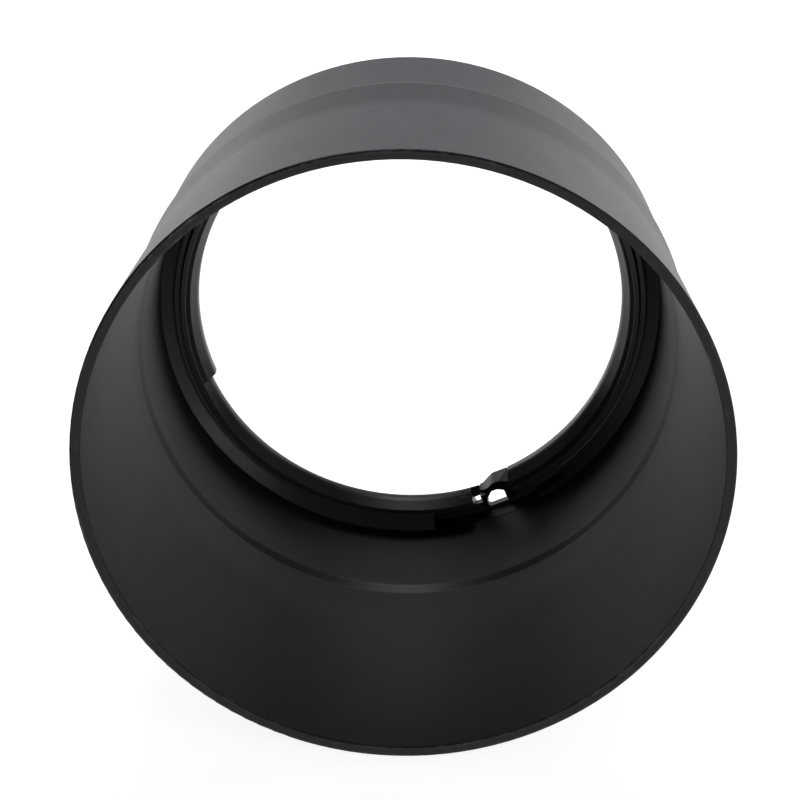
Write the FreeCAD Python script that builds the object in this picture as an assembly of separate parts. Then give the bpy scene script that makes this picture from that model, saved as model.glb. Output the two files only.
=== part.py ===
"""Bayonet lens hood: a tapered barrel, a bonded mount ring with two lugs, and a sprung click.

Millimetres, +Z up. The tube's axis is Y: the mouth opens towards -Y, and the mount's rear face is at Y = 0.
Angles go clockwise from +X, seen from the mouth, so 90 degrees is the tube's bottom.
"""

import FreeCAD, Part

import math
import os

from FreeCAD import Vector

# Barrel
MOUTH_RADIUS = 46.0
LENGTH = 58.8
RIM_WALL = 1.53
RIM_EDGE = 0.27
MID_RADIUS = 41.5
MID_Y = -28.3
SHOULDER_FRONT_RADIUS = 40.63
SHOULDER_FRONT_Y = -18.4
SHOULDER_REAR_RADIUS = 40.2
SHOULDER_REAR_Y = -17.2
TAIL_RADIUS = 38.2
TAIL_Y = -0.95
TAIL_EDGE = 0.3
MID_INNER_RADIUS = 39.88
STEP_FRONT_RADIUS = 39.17
STEP_FRONT_Y = -20.4
STEP_REAR_RADIUS = 38.68
STEP_REAR_Y = -18.9
MID_BLEND = 60.0
SHOULDER_FRONT_BLEND = 1.0
SHOULDER_REAR_BLEND = 3.0
STEP_FRONT_BLEND = 1.2
STEP_REAR_BLEND = 2.5

# Seat of the mount ring in the barrel
SEAT_RADIUS = 37.25
SEAT_Y = -3.9
SEAT_LEDGE_RADIUS = 36.9

# Mount ring
BOSS_RADIUS = 36.95
BOSS_EDGE = 0.35
BAND_OUTER_RADIUS = 36.85
BAND_INNER_RADIUS = 34.85
BAND_INNER_Y = -2.8
WALL_OUTER_RADIUS = 34.25
WALL_CREST_OUTER_RADIUS = 33.95
WALL_CREST_INNER_RADIUS = 33.3
WALL_CREST_Y = -4.3
GAP_RADIUS = 32.25
GAP_REAR_Y = -0.84
GAP_FRONT_RADIUS = 32.28
GAP_FRONT_Y = -2.0
GAP_FLARE_RADIUS = 33.0
RING_EDGE = 0.1
VALLEY_BLEND = 0.6
FLARE_BLEND = 0.5
GAP_BLEND = 3.0

# Lugs
LUG_RADIUS = 31.46
LUG_SHOULDER_RADIUS = 32.6
LUG_SHOULDER_Y = -3.65
LUG_LAND_Y = -1.7
LUG_REAR_EDGE = 0.12
LUG_ROOT_RADIUS = 33.8
LUG_ROOT_Y = -4.15
LUG_CREST_RADIUS = 33.25
LUG_SHOULDER_BLEND = 0.5
LUG_LAND_BLEND = 2.0
LUG_SPAN = 84.6
LUG_CENTRES = (19.8, 199.8)

# Click, in a frame of its own: u outwards along CLICK_ANGLE, v clockwise across it
CLICK_ANGLE = 67.2
CLICK_START = -2.7
CLICK_END = 2.2
CLICK_SIDE_GAP = 0.06
CLICK_TRAVEL = 0.6
CLICK_FRONT_Y = -3.9
CLICK_REAR_Y = -0.08
CLICK_CREST_U = 31.4
CLICK_CREST_END = -0.2
CLICK_RAMP_U = 32.38
CLICK_RAMP_END = 1.6
CLICK_TIP_U = 32.46
CLICK_BLEND = 1.0
ARCH_U = 32.6
ARCH_BACK_U = 33.5
ARCH_START = -0.6
ARCH_END = 0.35
ARCH_START_U = 33.1
ARCH_BACK_END = 1.35
START_LEG = -1.5
START_LEG_U = 34.7
END_LEG = 1.66
END_LEG_U = 34.9
LEG_LIFT = 0.08
LEG_CORNER = 0.25
LEG_FOOT_CORNER = 0.12
SHAVE_U = 32.75
SHAVE_TIP_V = 0.6
SHAVE_TIP_Y = -2.1
SHAVE_START_V = -1.2
SHAVE_START_U = 32.0
SHAVE_START_Y = -0.6

# Window behind the click, through the ring
WINDOW_START = -1.2
WINDOW_END = 1.95
WINDOW_OUTER_U = 35.95
WINDOW_CORNER = 0.4
CAVITY_INNER_U = 30.0
CAVITY_GAP = 0.12

# Pocket round the click, in the ring's front face
POCKET_FLOOR_Y = -1.3
POCKET_START = 50.0
POCKET_STEP = 58.0
POCKET_END = 84.0
POCKET_INNER_RADIUS = 34.3
POCKET_NARROW_RADIUS = 36.35
POCKET_DRAFT = 0.4

# Relief slot, notch and nub beside the click's tip
SLOT_END = 3.7
SLOT_INNER_U = 33.75
SLOT_OUTER_U = 34.9
SLOT_CORNER = 0.3
NOTCH_END = 3.5
NOTCH_REAR_Y = -1.0
NUB_START = 74.6
NUB_END = 76.4
NUB_REAR_RADIUS = 32.23
NUB_REAR_Y = -1.6
NUB_FRONT_RADIUS = 32.75
NUB_FRONT_Y = -3.2

# Cutters run this far past the ring's front and rear faces
MARGIN = 1.0

BARREL_SEAM = 199.0
RING_SEAM = 110.0
AXIS = Vector(0, 1, 0)
ORIGIN = Vector(0, 0, 0)


def radial(angle):
    """Unit vector out from the axis at an angle."""
    turn = math.radians(angle)
    return Vector(math.cos(turn), 0, -math.sin(turn))


def corner_arc(before, corner, after, blend):
    """Tangent arc that rounds one corner: its start, middle and end."""
    back = (before - corner).normalize()
    ahead = (after - corner).normalize()
    half_angle = back.getAngle(ahead) / 2
    reach = blend / math.tan(half_angle)
    inward = (back + ahead).normalize()
    centre = corner + inward * (blend / math.sin(half_angle))
    return corner + back * reach, centre - inward * blend, corner + ahead * reach


def blended_face(corners, blends):
    """Flat face inside a closed outline, with a tangent arc at each corner whose blend isn't 0."""
    count = len(corners)
    starts, ends, edges = [], [], []
    for index, corner in enumerate(corners):
        start = end = corner
        if blends[index]:
            after = corners[(index + 1) % count]
            start, middle, end = corner_arc(corners[index - 1], corner, after, blends[index])
            edges.append(Part.Arc(start, middle, end).toShape())
        starts.append(start)
        ends.append(end)
    for index in range(count):
        edges.append(Part.makeLine(ends[index], starts[(index + 1) % count]))
    return Part.Face(Part.Wire(Part.__sortEdges__(edges)))


def blends_of(points):
    """Third number of each outline point, or 0 where it has none."""
    return [point[2] if len(point) > 2 else 0 for point in points]


def section(points):
    """Closed face in the X-Y half plane from (radius, y) or (radius, y, blend radius) corners."""
    corners = [Vector(point[0], point[1], 0) for point in points]
    return blended_face(corners, blends_of(points))


def sector_of(points, start, end):
    """Turn of a (radius, y) section about the axis, from one angle to another."""
    face = section(points)
    face.rotate(ORIGIN, AXIS, start)
    return face.revolve(ORIGIN, AXIS, end - start)


def ring_of(points, seam):
    """Full turn of a section, with its seam at a given angle."""
    return sector_of(points, seam, seam + 360)


def click_point(u, v, y):
    """Point in the click's own frame."""
    return radial(CLICK_ANGLE) * u + radial(CLICK_ANGLE + 90) * v + Vector(0, y, 0)


def click_prism(outline, rear_y, front_y):
    """Solid from a closed outline of (u, v) or (u, v, blend radius) corners, between two planes."""
    corners = [click_point(point[0], point[1], rear_y) for point in outline]
    face = blended_face(corners, blends_of(outline))
    return face.extrude(Vector(0, front_y - rear_y, 0))


def click_block(u_low, u_high, v_low, v_high, rear_y, front_y, corner=0):
    """Block in the click's frame, with its edges along the axis rounded."""
    outline = [(u_low, v_low), (u_high, v_low), (u_high, v_high), (u_low, v_high)]
    return click_prism([place + (corner,) for place in outline], rear_y, front_y)


def hood_barrel():
    """Front cone, low shoulder and rear collar in one wall, with a counterbore for the ring."""
    return ring_of([
        (MOUTH_RADIUS, -LENGTH, RIM_EDGE),
        (MID_RADIUS, MID_Y, MID_BLEND),
        (SHOULDER_FRONT_RADIUS, SHOULDER_FRONT_Y, SHOULDER_FRONT_BLEND),
        (SHOULDER_REAR_RADIUS, SHOULDER_REAR_Y, SHOULDER_REAR_BLEND),
        (TAIL_RADIUS, TAIL_Y, TAIL_EDGE),
        (SEAT_RADIUS, TAIL_Y),
        (SEAT_RADIUS, SEAT_Y),
        (SEAT_LEDGE_RADIUS, SEAT_Y),
        (STEP_REAR_RADIUS, STEP_REAR_Y, STEP_REAR_BLEND),
        (STEP_FRONT_RADIUS, STEP_FRONT_Y, STEP_FRONT_BLEND),
        (MID_INNER_RADIUS, MID_Y, MID_BLEND),
        (MOUTH_RADIUS - RIM_WALL, -LENGTH, RIM_EDGE),
    ], BARREL_SEAM)


def ring_blank():
    """Mount ring before its lugs: boss, seat, dished band, raised wall and flared opening."""
    return ring_of([
        (SEAT_RADIUS, SEAT_Y),
        (BAND_OUTER_RADIUS, SEAT_Y),
        (BAND_INNER_RADIUS, BAND_INNER_Y, VALLEY_BLEND),
        (WALL_OUTER_RADIUS, BAND_INNER_Y),
        (WALL_CREST_OUTER_RADIUS, WALL_CREST_Y),
        (WALL_CREST_INNER_RADIUS, WALL_CREST_Y, RING_EDGE),
        (GAP_FRONT_RADIUS, GAP_FRONT_Y, GAP_BLEND),
        (GAP_RADIUS, GAP_REAR_Y, FLARE_BLEND),
        (GAP_FLARE_RADIUS, 0),
        (BOSS_RADIUS, 0, BOSS_EDGE),
        (BOSS_RADIUS, TAIL_Y),
        (SEAT_RADIUS, TAIL_Y),
    ], RING_SEAM)


def lug(centre):
    """Bayonet lug: a chamfered front, a taper, then a short cylindrical land at the rear."""
    points = [
        (LUG_ROOT_RADIUS, LUG_ROOT_Y),
        (LUG_CREST_RADIUS, LUG_ROOT_Y),
        (LUG_SHOULDER_RADIUS, LUG_SHOULDER_Y, LUG_SHOULDER_BLEND),
        (LUG_RADIUS, LUG_LAND_Y, LUG_LAND_BLEND),
        (LUG_RADIUS, 0, LUG_REAR_EDGE),
        (LUG_ROOT_RADIUS, 0),
    ]
    return sector_of(points, centre - LUG_SPAN / 2, centre + LUG_SPAN / 2)


def pocket_sector(outer_radius, start, end):
    """One stretch of the pocket, whose outer wall leans out towards the mouth."""
    front_y = WALL_CREST_Y - MARGIN
    points = [
        (POCKET_INNER_RADIUS, POCKET_FLOOR_Y),
        (outer_radius - POCKET_DRAFT, POCKET_FLOOR_Y),
        (outer_radius, SEAT_Y),
        (outer_radius, front_y),
        (POCKET_INNER_RADIUS, front_y),
    ]
    return sector_of(points, start, end)


def pocket():
    """Recess in the ring's front face that leaves the click room, narrow at its first end."""
    narrow = pocket_sector(POCKET_NARROW_RADIUS, POCKET_START, POCKET_STEP + 1)
    return narrow.fuse(pocket_sector(BAND_OUTER_RADIUS, POCKET_STEP, POCKET_END))


def click_cavity():
    """Everything cut away for the click: its track, its legs' track and the window behind it."""
    start, end = CLICK_START - CLICK_SIDE_GAP, CLICK_END + CLICK_SIDE_GAP
    front_y, rear_y = WALL_CREST_Y - MARGIN, MARGIN
    track_u = ARCH_BACK_U + CLICK_TRAVEL + CAVITY_GAP
    leg_u = END_LEG_U + CLICK_TRAVEL + CAVITY_GAP
    track = click_block(CAVITY_INNER_U, track_u, start, end, rear_y, front_y)
    legs = click_block(CAVITY_INNER_U, leg_u, start, end, POCKET_FLOOR_Y, front_y)
    window = click_block(
        CAVITY_INNER_U, WINDOW_OUTER_U, WINDOW_START, WINDOW_END, rear_y, front_y, WINDOW_CORNER,
    )
    return track.fuse(legs).fuse(window)


def tip_relief():
    """Slot and shallow notch in the opening's wall, just past the click's tip."""
    front_y = WALL_CREST_Y - MARGIN
    slot = click_block(SLOT_INNER_U, SLOT_OUTER_U, 0, SLOT_END, MARGIN, front_y, SLOT_CORNER)
    notch = click_block(CAVITY_INNER_U, SLOT_INNER_U + SLOT_CORNER, 0, NOTCH_END, NOTCH_REAR_Y, front_y)
    return slot.fuse(notch)


def nub():
    """Tiny raised stop on the opening's wall."""
    points = [
        (LUG_ROOT_RADIUS, NUB_FRONT_Y),
        (NUB_FRONT_RADIUS, NUB_FRONT_Y),
        (NUB_REAR_RADIUS, NUB_REAR_Y),
        (LUG_ROOT_RADIUS, NUB_REAR_Y),
    ]
    return sector_of(points, NUB_START, NUB_END)


def bayonet_ring():
    """Mount ring with its lugs, pocket, click cavity, relief slot and nub."""
    ring = ring_blank()
    for centre in LUG_CENTRES:
        ring = ring.fuse(lug(centre))
    ring = ring.fuse(nub())
    for cutter in (pocket(), click_cavity(), tip_relief()):
        ring = ring.cut(cutter)
    return ring.removeSplitter()


def tip_shave():
    """Wedge taken off the tongue's front face, towards its tip."""
    front_y = CLICK_FRONT_Y - MARGIN
    slope = (SHAVE_TIP_Y - CLICK_FRONT_Y) / (CLICK_END - SHAVE_TIP_V)
    outline = [
        (SHAVE_TIP_V - MARGIN / slope, front_y),
        (CLICK_END + MARGIN, front_y),
        (CLICK_END + MARGIN, SHAVE_TIP_Y + MARGIN * slope),
    ]
    corners = [click_point(CAVITY_INNER_U, v, y) for v, y in outline]
    face = Part.Face(Part.makePolygon(corners + corners[:1]))
    return face.extrude(radial(CLICK_ANGLE) * (SHAVE_U - CAVITY_INNER_U))


def start_shave():
    """Corner taken off the tongue's crest, at the front of its first end."""
    base = [
        click_point(CLICK_CREST_U, CLICK_START, SHAVE_START_Y),
        click_point(SHAVE_START_U, CLICK_START, CLICK_FRONT_Y),
        click_point(CLICK_CREST_U, SHAVE_START_V, CLICK_FRONT_Y),
    ]
    apex = click_point(CLICK_CREST_U, CLICK_START, CLICK_FRONT_Y)
    sides = [[base[index - 1], base[index], apex] for index in range(len(base))]
    faces = [Part.Face(Part.makePolygon(corners + corners[:1])) for corners in [base] + sides]
    return Part.Solid(Part.Shell(faces))


def click_spring():
    """Arched tongue, level at its crest, with a ramp at its tip and a leg at each end."""
    outline = [
        (CLICK_CREST_U, CLICK_START, LEG_CORNER),
        (CLICK_CREST_U, CLICK_CREST_END, CLICK_BLEND),
        (CLICK_RAMP_U, CLICK_RAMP_END, CLICK_BLEND),
        (CLICK_TIP_U, CLICK_END),
        (END_LEG_U, CLICK_END),
        (END_LEG_U, END_LEG, LEG_CORNER),
        (ARCH_BACK_U, ARCH_BACK_END, CLICK_BLEND),
        (ARCH_U, ARCH_END, LEG_CORNER),
        (ARCH_U, ARCH_START, CLICK_BLEND),
        (ARCH_START_U, START_LEG, LEG_CORNER),
        (START_LEG_U, START_LEG, LEG_FOOT_CORNER),
        (START_LEG_U, CLICK_START),
    ]
    step_y = POCKET_FLOOR_Y - LEG_LIFT
    front = click_prism(outline, step_y, CLICK_FRONT_Y)
    rear = click_prism(outline, CLICK_REAR_Y, step_y)
    keep = click_block(CAVITY_INNER_U, ARCH_BACK_U, CLICK_START, CLICK_END, MARGIN, CLICK_FRONT_Y)
    spring = front.fuse(rear.common(keep))
    for cutter in (tip_shave(), start_shave()):
        spring = spring.cut(cutter)
    return spring.removeSplitter()


def main():
    os.makedirs("parts", exist_ok=True)
    pieces = {
        "hood_barrel": hood_barrel(),
        "bayonet_ring": bayonet_ring(),
        "click_spring": click_spring(),
    }
    for name, shape in pieces.items():
        solid = shape.Solids[0]
        print(name, "solids", len(shape.Solids), "valid", shape.isValid(), "volume", round(solid.Volume, 1))
        shape.exportStep(f"parts/{name}.step")


main()
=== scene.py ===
"""Studio picture of a bayonet lens hood: a matte tapered barrel, a satin mount ring and its sprung click.

Metres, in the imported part's frame: +Z up, the tube's axis along Y, the mouth towards -Y.
"""

import math

import bpy
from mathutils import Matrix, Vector


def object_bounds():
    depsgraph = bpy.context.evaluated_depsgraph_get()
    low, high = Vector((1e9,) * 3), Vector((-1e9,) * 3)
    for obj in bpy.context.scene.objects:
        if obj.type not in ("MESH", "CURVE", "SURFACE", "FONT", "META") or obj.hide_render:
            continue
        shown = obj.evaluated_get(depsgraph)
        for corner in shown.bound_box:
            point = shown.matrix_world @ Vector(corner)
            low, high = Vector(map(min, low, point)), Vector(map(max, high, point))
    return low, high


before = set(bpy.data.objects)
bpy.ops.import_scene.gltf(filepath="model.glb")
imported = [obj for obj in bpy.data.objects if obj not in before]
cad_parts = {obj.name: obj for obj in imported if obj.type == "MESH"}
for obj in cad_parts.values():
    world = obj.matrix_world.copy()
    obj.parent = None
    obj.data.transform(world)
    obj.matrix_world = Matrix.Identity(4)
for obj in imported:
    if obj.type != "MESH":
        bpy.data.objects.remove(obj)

CAD_LOW, CAD_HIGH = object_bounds()
MILLIMETRE = 0.001
WHITE = (1.0, 1.0, 1.0)
COOL = (0.95, 0.97, 1.06)
WARM = (1.06, 1.0, 0.94)

# Camera: turned and raised round the hood, level, with a long lens
CAMERA_AZIMUTH = 1.116
CAMERA_ELEVATION = 24.07
CAMERA_DISTANCE = 0.6423
CAMERA_LENS = 210.2
CAMERA_SENSOR = 36.0
AIM_FROM_RIM = Vector((-0.46, 3.52, 7.74)) * MILLIMETRE

# Studio: a white table lit through from below, and soft boxes that stand mostly behind the hood.
# Azimuth is measured round the hood from the camera's side, and 90 is its right.
FLOOR_HALF_SIZE = 3.0
FLOOR_LEVEL = 0.9
FLOOR_ROUGHNESS = 0.6
FLOOR_GLOSS = 0.2
FLOOR_GLOW = 0.84
LIGHT_DISTANCE = 1.1
SOFT_BOXES = (
    # name, azimuth, elevation, width, height, watts, tint
    ("back_low", 180, 11, 0.70, 0.42, 0.85, COOL),
    ("back_low_right", 147, 11, 0.60, 0.42, 1.10, WHITE),
    ("back_low_left", 213, 11, 0.60, 0.42, 1.20, WARM),
    ("back", 180, 42, 0.85, 0.70, 1.10, WHITE),
    ("right", 90, 42, 0.85, 0.70, 0.85, WHITE),
    ("left", 270, 42, 0.85, 0.70, 0.50, WARM),
    ("back_high", 180, 60, 0.32, 0.32, 1.80, WHITE),
    ("front", 0, 35, 0.90, 0.90, 0.60, WHITE),
    ("front_low", 46, 12, 0.36, 0.30, 1.80, WHITE),
)

# Barrel's finish: sizes of its grains and marks
BARREL_GRAIN = 0.28 * MILLIMETRE
BARREL_BLOTCH = 1.6 * MILLIMETRE
BARREL_CLOUD = 14 * MILLIMETRE
BARREL_SWEEP = 10 * MILLIMETRE
SWEEP_STRETCH = (1.0, 0.16, 1.0)
BARREL_EDGE = 0.6 * MILLIMETRE
DUST_SPACING = 6.5 * MILLIMETRE
DUST_SIZE = 0.10 * MILLIMETRE
DUST_SHARE = 0.16

# Its grey levels, where 1 is white
BARREL_DARK = 0.0085
BARREL_LIGHT = 0.0125
BARREL_GRAIN_LEVEL = 0.03
# Edge lightening: partly wear, partly a painted highlight on the rim's rounded edges
BARREL_WEAR_AND_HIGHLIGHT_LEVEL = 0.22
DUST_LEVEL = 0.30

# Its gloss and roughness, and the small step inside it that wiping has rubbed smooth at the bottom
BARREL_GLOSS = 0.25
INNER_ROUGHNESS = 0.55
OUTER_ROUGHNESS = 0.40
WORN_POLISH = -0.10
RUBBED_POLISH = -0.15
STEP_Y = -19.65 * MILLIMETRE
STEP_HALF_WIDTH = 1.1 * MILLIMETRE
RUBBED_TOP = -30 * MILLIMETRE
RUBBED_FADE = 12 * MILLIMETRE

# Finish of the ring and the click
RING_GRAIN = 0.22 * MILLIMETRE
RING_BLOTCH = 1.2 * MILLIMETRE
RING_CLOUD = 6 * MILLIMETRE
RING_EDGE = 0.18 * MILLIMETRE
RING_LEVEL = 0.007
RING_GLOSS = 0.28
CLICK_LEVEL = 0.006
CLICK_GLOSS = 0.10
RING_ROUGHNESS = 0.34
RING_WORN_LEVEL = 0.04

# Noise seldom leaves this range
NOISE_LOW = 0.3
NOISE_HIGH = 0.7


# ---------------------------------------------------------------- camera

def direction(azimuth, elevation):
    """Unit vector towards an azimuth and elevation, in degrees."""
    turn, rise = math.radians(azimuth), math.radians(elevation)
    return Vector((
        math.sin(turn) * math.cos(rise),
        -math.cos(turn) * math.cos(rise),
        math.sin(rise),
    ))


def place_camera():
    """Level camera that looks at a point just behind the mouth's centre."""
    back = direction(CAMERA_AZIMUTH, CAMERA_ELEVATION)
    data = bpy.data.cameras.new("camera")
    data.lens = CAMERA_LENS
    data.sensor_width = CAMERA_SENSOR
    camera = bpy.data.objects.new("camera", data)
    bpy.context.scene.collection.objects.link(camera)
    rim_centre = Vector((0, CAD_LOW.y, 0))
    camera.rotation_mode = "QUATERNION"
    camera.location = rim_centre + AIM_FROM_RIM + back * CAMERA_DISTANCE
    camera.rotation_quaternion = (-back).to_track_quat("-Z", "Y")
    bpy.context.scene.camera = camera


# ---------------------------------------------------------------- node helpers

class Nodes:
    """A material's node tree, with one short call for each kind of node it needs."""

    def __init__(self, name):
        self.material = bpy.data.materials.new(name)
        self.material.use_nodes = True
        self.tree = self.material.node_tree
        self.tree.nodes.clear()
        self.shader = self.add("ShaderNodeBsdfPrincipled")
        output = self.add("ShaderNodeOutputMaterial")
        self.tree.links.new(self.shader.outputs["BSDF"], output.inputs["Surface"])
        self.place = self.add("ShaderNodeTexCoord").outputs["Object"]

    def add(self, kind, **settings):
        """New node with some of its properties set."""
        node = self.tree.nodes.new(kind)
        for key, value in settings.items():
            setattr(node, key, value)
        return node

    def feed(self, socket, value):
        """Link another node's output to a socket, or set the socket to a plain value."""
        if isinstance(value, bpy.types.NodeSocket):
            self.tree.links.new(value, socket)
        else:
            socket.default_value = value

    def shade(self, **values):
        """Feed the shader's inputs, whose names are given with _ for each space."""
        for name, value in values.items():
            self.feed(self.shader.inputs[name.replace("_", " ")], value)

    def math(self, operation, first, second=0.0, third=0.0):
        """Result of one sum on numbers."""
        node = self.add("ShaderNodeMath", operation=operation)
        for socket, value in zip(node.inputs, (first, second, third)):
            self.feed(socket, value)
        return node.outputs[0]

    def vector(self, operation, first, second):
        """Result of one sum on vectors."""
        node = self.add("ShaderNodeVectorMath", operation=operation)
        self.feed(node.inputs[0], first)
        self.feed(node.inputs[1], second)
        return node.outputs["Value" if operation == "DOT_PRODUCT" else "Vector"]

    def along(self, axis):
        """Distance along one of the frame's axes."""
        node = self.add("ShaderNodeSeparateXYZ")
        self.feed(node.inputs[0], self.place)
        return node.outputs[axis]

    def noise(self, grain, detail=2.0, roughness=0.5, stretch=WHITE):
        """Noise with grains of about the given size in metres, from 0 to 1."""
        node = self.add("ShaderNodeTexNoise")
        self.feed(node.inputs["Vector"], self.vector("MULTIPLY", self.place, stretch))
        node.inputs["Scale"].default_value = 1 / grain
        node.inputs["Detail"].default_value = detail
        node.inputs["Roughness"].default_value = roughness
        return node.outputs[0]

    def ramp(self, value, low, high, start=0.0, end=1.0):
        """Straight ramp of a value between two limits, clamped outside them."""
        node = self.add("ShaderNodeMapRange")
        self.feed(node.inputs["Value"], value)
        for name, number in zip(("From Min", "From Max", "To Min", "To Max"), (low, high, start, end)):
            node.inputs[name].default_value = number
        return node.outputs["Result"]

    def sway(self, value, noise, low, high):
        """A value moved by a noise, by anything from low to high."""
        return self.math("ADD", value, self.ramp(noise, NOISE_LOW, NOISE_HIGH, low, high))

    def mix(self, factor, first, second):
        """Colour between two colours."""
        node = self.add("ShaderNodeMix", data_type="RGBA")
        colours = [socket for socket in node.inputs if socket.type == "RGBA"]
        self.feed(node.inputs[0], factor)
        self.feed(colours[0], first)
        self.feed(colours[1], second)
        return [socket for socket in node.outputs if socket.type == "RGBA"][0]

    def bump(self, height, strength, depth, under=None):
        """Normal of a surface that a height from 0 to 1 raises by up to a depth in metres."""
        node = self.add("ShaderNodeBump")
        node.inputs["Strength"].default_value = strength
        node.inputs["Distance"].default_value = depth
        self.feed(node.inputs["Height"], height)
        if under is not None:
            self.feed(node.inputs["Normal"], under)
        return node.outputs["Normal"]

    def edges(self, radius):
        """1 on edges sharper than a radius in metres, and 0 on open faces."""
        node = self.add("ShaderNodeBevel", samples=6)
        node.inputs["Radius"].default_value = radius
        true_normal = self.add("ShaderNodeNewGeometry").outputs["Normal"]
        likeness = self.vector("DOT_PRODUCT", node.outputs["Normal"], true_normal)
        return self.ramp(likeness, 0.99, 0.86)

    def specks(self, spacing, size, share):
        """1 on small round specks: one to a cell of the given spacing, in a share of the cells."""
        cells = self.add("ShaderNodeTexVoronoi")
        self.feed(cells.inputs["Vector"], self.place)
        cells.inputs["Scale"].default_value = 1 / spacing
        dot = self.ramp(cells.outputs["Distance"], size / spacing, 0.6 * size / spacing)
        chosen = self.add("ShaderNodeSeparateColor")
        self.feed(chosen.inputs["Color"], cells.outputs["Color"])
        return self.math("MULTIPLY", dot, self.math("LESS_THAN", chosen.outputs["Red"], share))

    def band(self, middle, half_width):
        """1 at a distance along the tube's axis, falling to 0 at half_width to each side of it."""
        offset = self.math("ABSOLUTE", self.math("SUBTRACT", self.along("Y"), middle))
        return self.ramp(offset, half_width, 0.6 * half_width)

    def below(self, height, fade):
        """1 under a height, falling to 0 over a fade above it."""
        return self.ramp(self.along("Z"), height + fade, height)

    def outward(self):
        """1 where the surface faces away from the tube's axis, 0 where it faces the axis."""
        radial = self.vector("MULTIPLY", self.place, (1.0, 0.0, 1.0))
        normal = self.add("ShaderNodeTexCoord").outputs["Normal"]
        return self.math("GREATER_THAN", self.vector("DOT_PRODUCT", radial, normal), 0.0)


def grey(level, tint=WHITE):
    """Opaque grey of a level, with a faint tint."""
    return (level * tint[0], level * tint[1], level * tint[2], 1.0)


# ---------------------------------------------------------------- materials

def barrel_roughness(nodes, noises, edge):
    """Matter inside than outside, uneven, and smoother on worn edges and on the rubbed step."""
    outward = nodes.outward()
    rubbed = nodes.math(
        "MULTIPLY",
        nodes.band(STEP_Y, STEP_HALF_WIDTH),
        nodes.math("SUBTRACT", 1.0, outward),
    )
    rubbed = nodes.math("MULTIPLY", rubbed, nodes.below(RUBBED_TOP, RUBBED_FADE))
    rough = nodes.ramp(outward, 0.0, 1.0, INNER_ROUGHNESS, OUTER_ROUGHNESS)
    for noise, amount in noises:
        rough = nodes.sway(rough, noise, -amount, amount)
    rough = nodes.math("MULTIPLY_ADD", edge, WORN_POLISH, rough)
    return nodes.math("MULTIPLY_ADD", rubbed, RUBBED_POLISH, rough)


def barrel_plastic():
    """Moulded black with a fine eroded grain, a few specks of dust, and edges lightened in spots: partly
    wear, partly a painted highlight.
    """
    nodes = Nodes("moulded_barrel")
    grain = nodes.noise(BARREL_GRAIN, detail=3.0, roughness=0.62)
    blotch = nodes.noise(BARREL_BLOTCH, detail=4.0, roughness=0.6)
    cloud = nodes.noise(BARREL_CLOUD, detail=3.0)
    sweep = nodes.noise(BARREL_SWEEP, detail=4.0, roughness=0.6, stretch=SWEEP_STRETCH)
    dust = nodes.specks(DUST_SPACING, DUST_SIZE, DUST_SHARE)
    edge = nodes.math("MULTIPLY", nodes.edges(BARREL_EDGE), nodes.ramp(blotch, 0.44, 0.66))
    edge = nodes.math("MULTIPLY", edge, nodes.ramp(cloud, 0.44, 0.60))

    tone = nodes.mix(cloud, grey(BARREL_DARK), grey(BARREL_LIGHT))
    tone = nodes.mix(nodes.ramp(grain, 0.55, 0.8, 0.0, 0.5), tone, grey(BARREL_GRAIN_LEVEL))
    # Edges lightened in spots: partly wear, partly a painted highlight on the rim's rounded edges
    tone = nodes.mix(edge, tone, grey(BARREL_WEAR_AND_HIGHLIGHT_LEVEL))
    tone = nodes.mix(dust, tone, grey(DUST_LEVEL, WARM))
    coarse = nodes.bump(blotch, 0.10, 0.06 * MILLIMETRE)
    nodes.shade(
        Base_Color=tone,
        Roughness=barrel_roughness(nodes, ((cloud, 0.010), (sweep, 0.006), (blotch, 0.012)), edge),
        Specular_IOR_Level=BARREL_GLOSS,
        Normal=nodes.bump(grain, 0.30, 0.03 * MILLIMETRE, coarse),
    )
    return nodes.material


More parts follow.
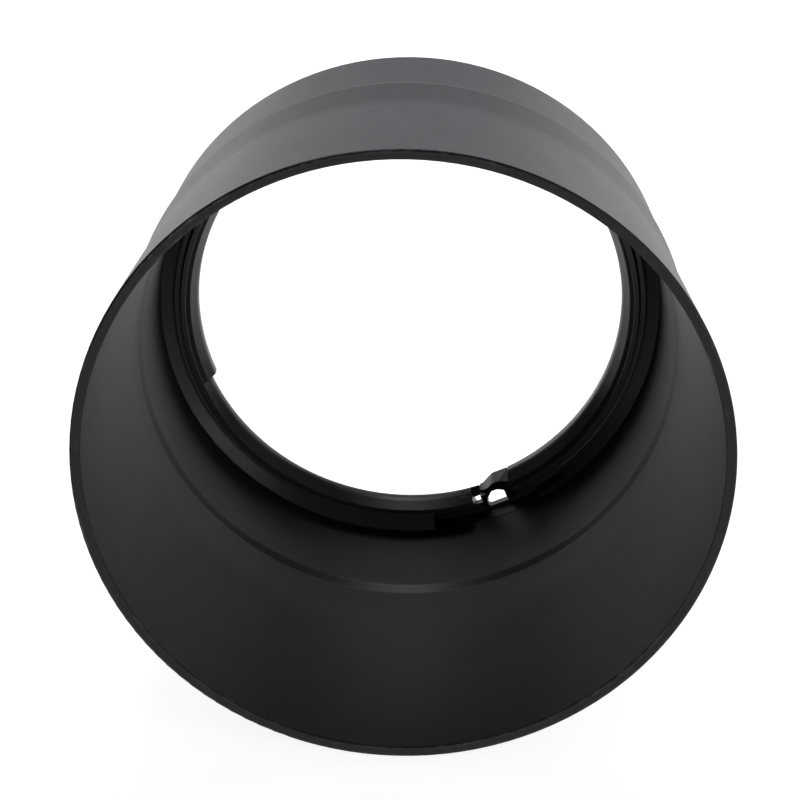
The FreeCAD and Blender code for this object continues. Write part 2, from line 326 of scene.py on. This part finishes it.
def ring_plastic(name, level, gloss):
    """Smooth moulded black with a satin sheen, rubbed light on its working edges."""
    nodes = Nodes(name)
    grain = nodes.noise(RING_GRAIN)
    blotch = nodes.noise(RING_BLOTCH, detail=4.0, roughness=0.6)
    cloud = nodes.noise(RING_CLOUD, detail=3.0)
    edge = nodes.math("MULTIPLY", nodes.edges(RING_EDGE), nodes.ramp(blotch, 0.35, 0.6))

    tone = nodes.mix(cloud, grey(level * 0.85), grey(level * 1.15))
    tone = nodes.mix(edge, tone, grey(RING_WORN_LEVEL))
    rough = nodes.sway(RING_ROUGHNESS, cloud, -0.03, 0.04)
    nodes.shade(
        Base_Color=tone,
        Roughness=nodes.sway(rough, blotch, -0.02, 0.03),
        Specular_IOR_Level=gloss,
        Normal=nodes.bump(grain, 0.12, 0.01 * MILLIMETRE),
    )
    return nodes.material


def dress(node, material):
    """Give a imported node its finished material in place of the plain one."""
    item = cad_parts[node]
    item.data.materials.clear()
    item.data.materials.append(material)


# ---------------------------------------------------------------- studio

def make_floor():
    """Plain white shooting table, lit through from below so that no shadow falls on it."""
    mesh = bpy.data.meshes.new("floor")
    s, z = FLOOR_HALF_SIZE, CAD_LOW.z
    mesh.from_pydata([(-s, -s, z), (s, -s, z), (s, s, z), (-s, s, z)], [], [(0, 1, 2, 3)])
    floor = bpy.data.objects.new("floor", mesh)
    bpy.context.scene.collection.objects.link(floor)
    nodes = Nodes("floor_white")
    nodes.shade(
        Base_Color=grey(FLOOR_LEVEL),
        Roughness=FLOOR_ROUGHNESS,
        Specular_IOR_Level=FLOOR_GLOSS,
        Emission_Color=grey(1.0),
        Emission_Strength=FLOOR_GLOW,
    )
    mesh.materials.append(nodes.material)


def soft_box(name, azimuth, elevation, width, height, watts, tint):
    """Flat area light that faces the hood from a direction round it."""
    data = bpy.data.lights.new(name, "AREA")
    data.shape = "RECTANGLE"
    data.size, data.size_y = width, height
    data.energy = watts
    data.color = tint
    light = bpy.data.objects.new(name, data)
    towards = direction(azimuth, elevation)
    light.location = towards * LIGHT_DISTANCE
    light.rotation_mode = "QUATERNION"
    light.rotation_quaternion = (-towards).to_track_quat("-Z", "Y")
    bpy.context.scene.collection.objects.link(light)


def light_studio():
    """Dark room with the soft boxes in it."""
    world = bpy.data.worlds.new("studio")
    world.use_nodes = True
    world.node_tree.nodes["Background"].inputs["Strength"].default_value = 0.0
    bpy.context.scene.world = world
    for settings in SOFT_BOXES:
        soft_box(*settings)


def main():
    bpy.context.scene.view_settings.view_transform = "Standard"
    dress("hood_barrel", barrel_plastic())
    dress("bayonet_ring", ring_plastic("moulded_ring", RING_LEVEL, RING_GLOSS))
    dress("click_spring", ring_plastic("moulded_click", CLICK_LEVEL, CLICK_GLOSS))
    make_floor()
    light_studio()
    place_camera()


main()
